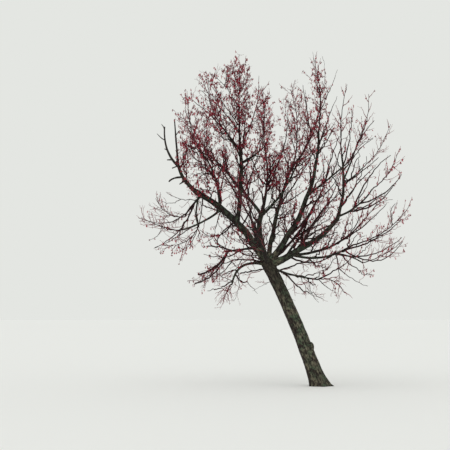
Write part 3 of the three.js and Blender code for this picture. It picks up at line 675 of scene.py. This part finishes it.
def bark_finish(name, furrow, plate, algae, lichen, film_amount, dry_above, bump):
    """Rough bark: dark furrows between paler plates, with patches of green algae and grey-tan lichen."""
    finish, tree, shader = new_finish(name, 0.92, 0.25)
    grain = add_node(tree, "Attribute", {}, attribute_name="grain").outputs["Vector"]
    # Plates are about 30 mm wide and 110 mm long.
    drawn_out = add_node(tree, "Mapping", {"Vector": grain, "Scale": (33, 33, 9)}).outputs["Vector"]
    plates = add_node(tree, "TexNoise", {
        "Vector": drawn_out, "Scale": 1.0, "Detail": 5.0, "Roughness": 0.6}).outputs["Fac"]
    raised = add_node(tree, "MapRange", {"Value": plates, "From Min": 0.36, "From Max": 0.62}).outputs[0]
    # Patches of film are 60 to 120 mm across, with ragged edges, and most of them are on the damp side, which
    # faces the viewer: they are also painted light on the front of the limb, with painted shade at its edges.
    patches = add_node(tree, "TexNoise", {
        "Vector": grain, "Scale": 12.0, "Detail": 6.0, "Roughness": 0.7}).outputs["Fac"]
    damp_and_lit = add_node(tree, "Attribute", {}, attribute_name="damp_and_lit").outputs["Fac"]
    damp_and_lit_patches = add_node(tree, "Math", {0: damp_and_lit, 1: 0.13, 2: patches}, operation="MULTIPLY_ADD").outputs[0]
    film_from, film_to = 0.72 - 0.2 * film_amount, 0.82 - 0.2 * film_amount
    filmed = add_node(tree, "MapRange", {
        "Value": damp_and_lit_patches, "From Min": film_from, "From Max": film_to}).outputs[0]
    # Further up the limb the film gives out.
    up_limb = add_node(tree, "SeparateXYZ", {"Vector": grain}).outputs["Z"]
    low_down = add_node(tree, "MapRange", {
        "Value": up_limb, "From Min": dry_above, "From Max": dry_above + 1.0, "To Min": 1.0, "To Max": 0.25})
    # The kinds of film change over about 170 mm.
    kinds = add_node(tree, "TexNoise", {"Vector": grain, "Scale": 6.0, "Detail": 4.0}).outputs["Fac"]
    kind = add_node(tree, "MapRange", {"Value": kinds, "From Min": 0.44, "From Max": 0.58}).outputs[0]
    film = add_node(tree, "Mix", {SHARE: kind, FIRST: paint(algae), SECOND: paint(lichen)}, data_type="RGBA")
    bare = add_node(tree, "Mix", {
        SHARE: raised, FIRST: paint(furrow), SECOND: paint(plate)}, data_type="RGBA")
    above = add_node(tree, "Math", {0: filmed, 1: raised}, operation="MULTIPLY").outputs[0]
    kept = add_node(tree, "Math", {0: above, 1: low_down.outputs[0]}, operation="MULTIPLY").outputs[0]
    coated = add_node(tree, "Mix", {
        SHARE: kept, FIRST: bare.outputs[MIXED], SECOND: film.outputs[MIXED]}, data_type="RGBA")
    tree.links.new(coated.outputs[MIXED], shader.inputs["Base Color"])
    relief = add_node(tree, "Bump", {"Strength": 0.9, "Distance": bump, "Height": plates})
    tree.links.new(relief.outputs["Normal"], shader.inputs["Normal"])
    return finish


def twig_finish(name, colour, shade, roughness):
    """Young bark or a berry's skin: smooth, one colour with a slight change over about 70 mm."""
    finish, tree, shader = new_finish(name, roughness, 0.3)
    place = add_node(tree, "TexCoord", {}).outputs["Object"]
    change = add_node(tree, "TexNoise", {"Vector": place, "Scale": 14.0, "Detail": 2.0}).outputs["Fac"]
    mixed = add_node(tree, "Mix", {
        SHARE: change, FIRST: paint(colour), SECOND: paint(shade)}, data_type="RGBA")
    tree.links.new(mixed.outputs[MIXED], shader.inputs["Base Color"])
    return finish


# Furrowed bark of an old trunk: rough and dark, greened by algae where the rain runs down it, on the side
# facing the viewer, so that this pale film is also painted light.
trunk_finish = bark_finish("furrowed_trunk_bark", "1a1413", "3a312c", "52664f", "767360", 0.9, 1.9, 0.012)
# Bark of the boughs: the same, with shallower furrows and less of the green film.
bough_finish = bark_finish("furrowed_bough_bark", "171110", "2d2522", "415543", "4c4a3e", 0.8, 2.5, 0.008)
# Dead wood: the bark has mostly gone, and the wood below has weathered grey-brown.
dead_finish = bark_finish("weathered_dead_wood", "1b1716", "332d29", "3d4238", "4c483f", 0.5, 2.5, 0.004)
# Bark of the finer branches: thin and nearly smooth, dark brown.
branch_bark = twig_finish("fine_branch_bark", "381b1c", "221314", 0.85)
# Bark of bare twigs: thin, red-brown and a little shiny.
twig_bark = twig_finish("bare_twig_bark", "902f3a", "6a2630", 0.62)
# Bark of the fruiting twigs: thin and a deeper red.
fruiting_bark = twig_finish("fruiting_twig_bark", "782a35", "561d28", 0.6)
# Berries that have hung through frost: a dull waxy skin over dark red flesh, some of them browned.
berry_finishes = {
    colour: twig_finish(f"frosted_berry_{colour}", *look)
    for colour, look in {
        "crimson": ("be3448", "a4283c", 0.42),
        "dark_red": ("a62c40", "8c2434", 0.46),
        "browned": ("86303a", "6c242c", 0.55),
    }.items()
}


# Twigs

def places_along(paths, share):
    """The point a share of the way along each path, and which way the path heads there."""
    step = share * (paths.shape[1] - 1)
    before = np.minimum(step.astype(int), paths.shape[1] - 2)
    rows = np.arange(len(paths))
    here, onward = paths[rows, before], paths[rows, before + 1]
    return here + (onward - here) * (step - before)[:, None], unit(onward - here)


def side_headings(onward, turn, angle, lift):
    """Headings at an angle to their parents and turned round them, lifted or hung."""
    level = np.stack([onward[:, 1], -onward[:, 0], np.zeros(len(onward))], axis=1)
    flat = np.linalg.norm(level, axis=1, keepdims=True)
    side = np.where(flat > UPRIGHT_ENOUGH, level / np.maximum(flat, UPRIGHT_ENOUGH), (1.0, 0.0, 0.0))
    across = np.cross(side, onward)
    turn, angle = turn[:, None], angle[:, None]
    heading = onward * np.cos(angle) + np.sin(angle) * (side * np.cos(turn) + across * np.sin(turn))
    heading[:, 2] += UPTURN * lift
    return unit(heading)


def crook(paths, amount, random):
    """How far the joints of each path are off it, but for the first and the last."""
    off = random.normal(0, amount, paths.shape)
    off[:, [0, -1]] = 0
    return off


def twig_paths(start, heading, length, lift, joints, random):
    """Paths that curl up or droop towards their tips and turn a little at each joint."""
    share = np.linspace(0, 1, joints)
    paths = start[:, None] + heading[:, None] * (length[:, None] * share)[..., None]
    paths[..., 2] -= 4 * share * (1 - share) * (TWIG_CURL * length * lift)[:, None]
    return paths + crook(paths, TWIG_CROOK, random) * length[:, None, None]


mass_names = list(MASSES)
stem_tips, stem_bows, *mass_numbers = zip(*MASSES.values())
mass_spreads, mass_lifts, mass_fullness, mass_fruit, mass_fruiting = np.array(mass_numbers, float)
mass_lines = [
    bowed_line(limbs[name]["line"][2], tip, bow) for name, tip, bow in zip(mass_names, stem_tips, stem_bows)
]
mass_samples = sampled(mass_lines)
live_samples = sampled(limbs[name]["line"] for name in live_boughs)


def distance_to(samples, points, sunk=0.0):
    """The distance from each point to each row of samples, less how far that sinks towards it."""
    def near(some):
        apart = some[:, None, None] - samples[None]
        return (np.sqrt((apart**2).sum(axis=-1)) - sunk).min(axis=-1)

    return in_parts(near, points, at_once=2000)


def clear_of_limbs(points, room):
    return distance_to(limb_samples, points, limb_radii).min(axis=1) > room


def nearest_mass(points):
    return np.argmin(distance_to(mass_samples, points) / mass_spreads, axis=1)


def in_own_space(points, mass):
    """A mass keeps to the space that is nearer to its own stem than to any other."""
    shares = distance_to(mass_samples, points) / mass_spreads
    own = shares[:, mass]
    others = np.delete(shares, mass, axis=1)
    return (own <= 1) & (others > own[:, None] + SPACE_BETWEEN_MASSES).all(axis=1)


def in_place(points, left, right, low, high):
    """Whether points lie in a part of the crown as it is seen from the front."""
    across, up = points[:, 0], points[:, 2]
    return (across > left) & (across < right) & (up > low) & (up < high)


def in_crown(points):
    """Near a mass's stem or a live bough, inside the solids' box and out of the gaps of sky."""
    by_stem = (distance_to(mass_samples, points) / mass_spreads).min(axis=1) < ROOM_FOR_FINE_TWIGS
    by_bough = distance_to(live_samples, points).min(axis=1) < ROOM_BY_BOUGHS
    lowest, highest = np.array(cad_box[0]), np.array(cad_box[1])
    inside = ((points > lowest) & (points < highest)).all(axis=1)
    for gap in SKY_GAPS:
        inside &= ~in_place(points, *gap)
    return inside & (by_stem | by_bough)


def grows_there(points, thin_places, random):
    """Only a share of the finer twigs, or of the fruit, grows where the crown is thin."""
    chance = np.ones(len(points))
    for *place, share in thin_places:
        chance[in_place(points, *place)] = share
    return random.random(len(points)) < chance


def first_twigs(mass):
    """The side twigs that the solids have, by the solids' random numbers.

    Each carries a finer twig there, which is tried here too, so that the numbers stay in step.
    """
    spread, lift = mass_spreads[mass], mass_lifts[mass]
    random = seeded_random(mass + 1)

    def between(low, high):
        return low + (high - low) * random()

    def fitting(start, onward, turn, angle, length):
        heading = side_headings(onward[None], np.array([turn]), np.array([angle]), lift)[0]
        points = start + heading * length * np.array(PLACES_CHECKED)[:, None]
        return heading, in_own_space(points, mass).all() and clear_of_limbs(points, CLEAR_OF_LIMBS).all()

    starts, headings, lengths = [], [], []
    for i in range(TWIGS_TRIED):
        along = FIRST_TWIG + (1 - FIRST_TWIG) * (i + random()) / TWIGS_TRIED
        turn = i * GOLDEN_ANGLE + random()
        length = spread * between(*TWIG_SHARE) * (1 - SHORTER_TO_THE_TIP * along)
        start = on_line(mass_lines[mass], along)
        onward = line_heading(mass_lines[mass], along)
        heading, fits = fitting(start, onward, turn, between(*LEAVING_ANGLE), length)
        if not fits:
            continue
        random()
        starts.append(start)
        headings.append(heading)
        lengths.append(length)
        fine_length = length * between(*FINE_TWIG_SHARE) * (1 - SHORTER_TO_THE_TIP / 2)
        fine_turn = random()
        middle = start + heading * length / 2
        if fitting(middle, heading, fine_turn, between(*LEAVING_ANGLE), fine_length)[1]:
            random()
    return np.array(starts), np.array(headings), np.array(lengths)


def path_group(paths, length, reach, lift, turn, thick, owner, fullness):
    """Paths with what their twigs need. The owner is the mass whose piece they are joined to."""
    count = len(paths)
    return {
        "paths": np.array(paths), "length": np.array(length), "reach": np.full(count, reach),
        "lift": np.full(count, lift), "turn": np.full(count, turn), "thick": np.array(thick),
        "owner": np.array(owner), "fullness": np.full(count, fullness),
    }


def together(*groups):
    return {key: np.concatenate([group[key] for group in groups]) for key in groups[0]}


def part_of(group, chosen):
    return {key: values[chosen] for key, values in group.items()}


def twigs_on(carriers, kind, random):
    """Side twigs on every carrying path, by the masses' rule. What would leave the crown is left out."""
    per_metre, share, joints, thickest, angle, lift_kept = kind
    each = np.maximum(np.round(carriers["length"] * per_metre * carriers["fullness"]).astype(int), 1)
    rows = np.repeat(np.arange(len(each)), each)
    order = np.arange(len(rows)) - np.repeat(np.cumsum(each) - each, each)
    along = TWIGS_FROM + TWIGS_OVER * (order + random.random(len(rows))) / each[rows]
    start, onward = places_along(carriers["paths"][rows], along)
    turn = order * GOLDEN_ANGLE + carriers["turn"][rows] + random.random(len(rows))
    lift = carriers["lift"][rows] * lift_kept
    heading = side_headings(onward, turn, random.uniform(*angle, len(rows)), lift)
    length = carriers["reach"][rows] * random.uniform(*share, len(rows)) * (1 - SHORTER_TO_THE_TIP * along)
    kept = grows_there(start + heading * length[:, None] / 2, THIN_PLACES, random)
    for place in PLACES_CHECKED:
        here = start + heading * (length * place)[:, None]
        kept &= clear_of_limbs(here, FINE_TWIG_CLEAR) & in_crown(here)
    local = carriers["thick"][rows, 0] * (1 - along) + carriers["thick"][rows, 1] * along
    thick = np.minimum(local[:, None] * SHARE_OF_CARRIER, thickest)
    start, heading, length, lift = start[kept], heading[kept], length[kept], lift[kept]
    return path_group(
        twig_paths(start, heading, length, lift, joints, random), length, length, lift, turn[kept],
        thick[kept], carriers["owner"][rows][kept], carriers["fullness"][rows][kept])


def line_group(lines, thick, reach, lift, random):
    """Slightly crooked paths along bowed lines, each owned by the mass that is nearest."""
    paths = np.array([on_line(line, np.linspace(0, 1, BRANCH_JOINTS)) for line in lines])
    length = np.linalg.norm(np.diff(paths, axis=1), axis=2).sum(axis=1)
    off = crook(paths, BRANCH_CROOK, random)
    owner = nearest_mass(paths[:, OWNING_JOINT])
    turn = random.random(len(paths)) * FIRST_TURN
    return path_group(paths + off, length, reach, lift, turn, thick, owner, mass_fullness[owner])


def tapered(group):
    """Radii along each path, from its root to its tip."""
    share = np.linspace(0, 1, group["paths"].shape[1])
    return (group["thick"][:, :1] * (1 - share) + group["thick"][:, 1:] * share) / 2


def tube_arrays(paths, radii, sides):
    """Corners and triangles of closed tubes along many paths at once."""
    count, joints = paths.shape[:2]
    onward = unit(np.gradient(paths, axis=1))
    least = np.eye(3)[np.argmin(np.abs(paths[:, -1] - paths[:, 0]), axis=1)]
    side = unit(np.cross(onward, least[:, None]))
    across = np.cross(onward, side)
    angle = np.arange(sides) * 2 * math.pi / sides
    ring = side[:, :, None] * np.cos(angle)[:, None] + across[:, :, None] * np.sin(angle)[:, None]
    corners = paths[:, :, None] + ring * radii[:, :, None, None]
    number = np.arange(count * joints * sides).reshape(count, joints, sides)
    low, high = number[:, :-1], number[:, 1:]
    low_on, high_on = np.roll(low, -1, axis=2), np.roll(high, -1, axis=2)
    walls = np.stack([low, low_on, high_on, low, high_on, high], axis=-1).reshape(-1, 3)
    root_ends = [number[:, 0, [0, i + 1, i]] for i in range(1, sides - 1)]
    tip_ends = [number[:, -1, [0, i, i + 1]] for i in range(1, sides - 1)]
    return corners.reshape(-1, 3), np.concatenate([walls, *root_ends, *tip_ends])


def mesh_from_arrays(name, parts):
    """One mesh of several sets of corners and triangles."""
    shift = np.cumsum([0] + [len(corners) for corners, _ in parts])
    corners = np.concatenate([corners for corners, _ in parts])
    faces = np.concatenate([faces + first for (_, faces), first in zip(parts, shift)])
    mesh = bpy.data.meshes.new(name)
    mesh.vertices.add(len(corners))
    mesh.vertices.foreach_set("co", corners.ravel())
    mesh.loops.add(faces.size)
    mesh.loops.foreach_set("vertex_index", faces.ravel())
    mesh.polygons.add(len(faces))
    mesh.polygons.foreach_set("loop_start", np.arange(0, faces.size, 3))
    mesh.update(calc_edges=True)
    return mesh


def traced_branches(random):
    lines = {name: limb["line"] for name, limb in limbs.items()}
    lines.update({f"{name}_stem": line for name, line in zip(mass_names, mass_lines)})
    for name, (on, at, tip, (right, up), _) in BRANCHES.items():
        lines[name] = bowed_line(on_line(lines[on], at), tip, (right, 0, up))
    thick = np.array([row[4] for row in BRANCHES.values()]) / 1000
    return line_group([lines[name] for name in BRANCHES], thick, BRANCH_REACH, 1.0, random)


def solids_own_twigs(random):
    """The side twigs that the solids have, with their own starts and headings."""
    groups = []
    for mass, lift in enumerate(mass_lifts):
        starts, headings, lengths = first_twigs(mass)
        count = len(starts)
        paths = twig_paths(starts, headings, lengths, np.full(count, lift), SIDE_TWIG_JOINTS, random)
        groups.append(path_group(
            paths, lengths, lengths, lift, np.arange(count) * 1.0, np.tile(SIDE_TWIG_THICKNESS, (count, 1)),
            np.full(count, mass), mass_fullness[mass]))
    return together(*groups)


def whole_crown(random):
    """Every branch and twig: stems and finer branches, then three finer and finer kinds of twigs."""
    stem_thick = [(limbs[name]["thick"][1] * STEM_THICKNESS_SHARE, STEM_TIP_THICKNESS) for name in mass_names]
    stems = line_group(mass_lines, stem_thick, mass_spreads, mass_lifts, random)
    stems["owner"] = np.arange(len(mass_names))
    stems["fullness"] = mass_fullness
    lines, thick = zip(*[(limbs[name]["line"], limbs[name]["thick"]) for name in live_boughs])
    boughs = line_group(lines, thick, 1.0, 1.0, random)
    grown = twigs_on(boughs, BRANCHES_ON_BOUGHS, random)
    grown["owner"] = nearest_mass(grown["paths"][:, OWNING_JOINT])
    grown["fullness"] = mass_fullness[grown["owner"]]
    grown["reach"] = np.full(len(grown["paths"]), BRANCH_REACH)
    shoots = twigs_on(boughs, SHOOTS_ON_BOUGHS, random)
    finer = together(traced_branches(random), grown)
    sides = together(
        solids_own_twigs(random), twigs_on(stems, TWIGS_ON_STEMS, random), shoots,
        twigs_on(finer, TWIGS_ON_BRANCHES, random))
    fine = twigs_on(sides, FINE_TWIGS, random)
    finest = twigs_on(fine, FINEST_TWIGS, random)
    return together(stems, finer), sides, fine, finest


# Fruit

def fruit_places(group, shares_along, chance, random):
    """Points on a group's branches or twigs where a bunch hangs, more of them in fruitful masses."""
    places = []
    for along in shares_along:
        bearing = random.random(len(group["paths"])) < mass_fruit[group["owner"]] * chance
        chosen = group["paths"][bearing]
        where = np.minimum(along + random.uniform(-FRUIT_OFF_PLACE, FRUIT_OFF_PLACE, len(chosen)), 1)
        places.append(places_along(chosen, where)[0])
    places = np.concatenate(places)
    return places[grows_there(places, SELDOM_FRUIT, random)]


def fruit_bunches(tips, random):
    """Drooping bunches of small berries, each on a stalk that hangs from a twig."""
    ball = bmesh.new()
    bmesh.ops.create_icosphere(ball, subdivisions=1, radius=1)
    berry = np.array([vertex.co for vertex in ball.verts])
    berry_faces = np.array([[vertex.index for vertex in face.verts] for face in ball.faces])
    ball.free()
    spot = random.normal(0, 1, (len(tips), BERRIES, 3)) * BUNCH_SPREAD
    spot[..., 2] -= BERRIES_BELOW_TWIG
    radius = random.uniform(*BERRY_RADIUS, (len(tips), BERRIES))
    corners = tips[:, None, None] + spot[:, :, None] + berry * radius[..., None, None]
    first = np.arange(len(tips) * BERRIES) * len(berry)
    faces = (berry_faces[None] + first[:, None, None]).reshape(-1, 3)
    stalk = np.stack([tips] + [tips - (0, 0, below) for below in STALK_JOINTS_BELOW_TWIG], axis=1)
    stalk_radii = np.full(stalk.shape[:2], STALK_RADIUS)
    return [(corners.reshape(-1, 3), faces), tube_arrays(stalk, stalk_radii, TWIG_SIDES)]


# Making the pieces

def make_trunk():
    trunk = limbs["trunk"]
    stock = limb_tube(trunk, TRUNK_SIDES, trunk["radius"])
    for vertex in stock.verts:
        centre = Vector(on_line(trunk["line"], vertex.co.z / TRUNK_FORK[2]))
        around = math.atan2(vertex.co.y - centre.y, vertex.co.x - centre.x)
        # Halfway between two lobes the radius is the plain one.
        lobes = trunk_radius(vertex.co.z, around) / trunk_radius(vertex.co.z, math.pi / 2 / ROOT_LOBES)
        vertex.co.x = centre.x + (vertex.co.x - centre.x) * lobes
        vertex.co.y = centre.y + (vertex.co.y - centre.y) * lobes
    head = lump(float(trunk_radius(TRUNK_FORK[2])), (1, 1, 1), TRUNK_FORK)
    at = on_line(trunk["line"], BURR["height"] / TRUNK_FORK[2])
    burr = lump(1, BURR["size"], (at[0] + BURR["right"], at[1] + BURR["away"], BURR["height"]))
    on_trunk = [limbs[name] for name, row in BOUGHS.items() if row[0] == "trunk"]
    collars = [collar(limb, reach=0.2 + 2.2 * limb["thick"][0], wide=1.25) for limb in on_trunk]
    skin = one_skin(joined("trunk_stock", [stock, head, burr, *collars]), voxel=0.009, rounds=4)
    raise_bark(skin, furrow_depth=0.007, lump_share=0.045)
    shape = bmesh.new()
    shape.from_mesh(skin)
    cut = bmesh.ops.bisect_plane(
        shape, geom=[*shape.verts, *shape.edges, *shape.faces], plane_co=(0, 0, 0), plane_no=(0, 0, 1),
        clear_inner=True)["geom_cut"]
    rim = [part for part in cut if isinstance(part, bmesh.types.BMEdge)]
    bmesh.ops.holes_fill(shape, edges=rim, sides=0)
    shape.to_mesh(skin)
    shape.free()
    finished_piece("trunk_bark", skin, "bark", trunk_finish, "trunk")


def make_main_boughs():
    shapes = [limb_tube(limbs[name], MAIN_BOUGH_SIDES, limbs[name]["radius"]) for name in main_boughs]
    shapes += [
        collar(limbs[name], reach=0.1 + 0.55 * limbs[on]["thick"][0], wide=1.3)
        for name, (on, *_) in BOUGHS.items() if on in main_boughs
    ]
    skin = one_skin(joined("bough_stock", shapes), voxel=0.011, rounds=3)
    raise_bark(skin, furrow_depth=0.005, lump_share=0.08)
    finished_piece("main_boughs_bark", skin, "bark", bough_finish, *[f"{name}_bough" for name in main_boughs])


def thin_bough_shapes(names, swollen):
    shapes = []
    for name in names:
        limb = limbs[name]
        leaving = THIN_BOUGH_SWELLING * np.exp(-limb["up_limb"] / THIN_BOUGH_SWELLING_LENGTH)
        shapes.append(limb_tube(limb, THIN_BOUGH_SIDES, limb["radius"] * (swollen + leaving)))
    return shapes


def dead_stub_shapes():
    shapes = []
    for name, (on, at, tip, (right, up), thick) in DEAD_STUBS.items():
        limb = make_limb(name, bowed_line(on_line(limbs[on]["line"], at), tip, (right, 0, up)), thick)
        shapes.append(limb_tube(limb, STUB_SIDES, limb["radius"]))
    return shapes


def make_thin_boughs():
    for piece_name, names, shapes, slot, finish in (
        ("thin_boughs_bark", thin_boughs, thin_bough_shapes(thin_boughs, 1), "bark", bough_finish),
        ("dead_boughs_wood", dead_boughs,
         thin_bough_shapes(dead_boughs, DEAD_WOOD_SWOLLEN) + dead_stub_shapes(), "dead_wood", dead_finish),
    ):
        mesh = joined(piece_name, shapes)
        raise_bark(mesh, furrow_depth=0.003, lump_share=0.14)
        finished_piece(piece_name, mesh, slot, finish, *[f"{name}_bough" for name in names])


def make_twigs_and_fruit():
    random = np.random.default_rng(CROWN_SEED)
    branches, *twigs = whole_crown(random)
    mesh = mesh_from_arrays("branches", [tube_arrays(branches["paths"], tapered(branches), BRANCH_SIDES)])
    finished_piece("branches_bark", mesh, "bark", branch_bark)
    for mass, name in enumerate(mass_names):
        own = [part_of(group, group["owner"] == mass) for group in twigs]
        tubes = [tube_arrays(group["paths"], tapered(group), TWIG_SIDES) for group in own]
        mesh = mesh_from_arrays(name, tubes)
        slot, finish = ("fruiting_twigs", fruiting_bark) if mass_fruiting[mass] else ("twigs", twig_bark)
        finished_piece(f"{name}_fine_twigs", mesh, slot, finish, f"{name}_twigs")

    tips = np.concatenate([
        fruit_places(group, *hanging, random) for group, hanging in zip((branches, *twigs), FRUIT_ALONG)
    ])
    piece = random.integers(0, PIECES_OF_A_COLOUR * len(berry_finishes), len(tips))
    for number in range(PIECES_OF_A_COLOUR * len(berry_finishes)):
        colour = list(berry_finishes)[number // PIECES_OF_A_COLOUR]
        mesh = mesh_from_arrays("fruit", fruit_bunches(tips[piece == number], random))
        name = f"fruit_{colour}_{number % PIECES_OF_A_COLOUR + 1}"
        finished_piece(name, mesh, "fruiting_twigs", berry_finishes[colour])


def make_stage():
    """A plain pale floor, soft light from all round and above, and the camera."""
    scene = bpy.context.scene
    scene.view_settings.view_transform = "Standard"
    ground = bmesh.new()
    bmesh.ops.create_circle(ground, cap_ends=True, segments=96, radius=900)
    mesh = bpy.data.meshes.new("floor")
    ground.to_mesh(mesh)
    ground.free()
    floor = bpy.data.objects.new("floor", mesh)
    finish, _, shader = new_finish("pale_floor", 0.95)
    shader.inputs["Base Color"].default_value = paint("ededec")
    mesh.materials.append(finish)
    scene.collection.objects.link(floor)

    scene.world = bpy.data.worlds.new("pale_studio")
    scene.world.use_nodes = True
    backdrop = scene.world.node_tree.nodes["Background"]
    backdrop.inputs["Color"].default_value = paint("e4e6e2")
    backdrop.inputs["Strength"].default_value = 1.0

    light = bpy.data.lights.new("soft_overhead", "SUN")
    light.energy = 0.6
    light.angle = math.radians(70)
    lamp = bpy.data.objects.new("soft_overhead", light)
    lamp.rotation_euler = (math.radians(25), math.radians(-15), 0)
    scene.collection.objects.link(lamp)

    # The camera stands 23 m off at eye height and looks a little up, where the picture was taken.
    lens = bpy.data.cameras.new("camera")
    lens.lens = 75
    lens.sensor_width = 36
    lens.clip_end = 3000
    camera = bpy.data.objects.new("camera", lens)
    camera.location = (-2.27, -22.9, 1.63)
    camera.rotation_euler = (math.radians(95.67), 0, 0)
    scene.collection.objects.link(camera)
    scene.camera = camera


make_stage()
make_trunk()
make_main_boughs()
make_thin_boughs()
make_twigs_and_fruit()
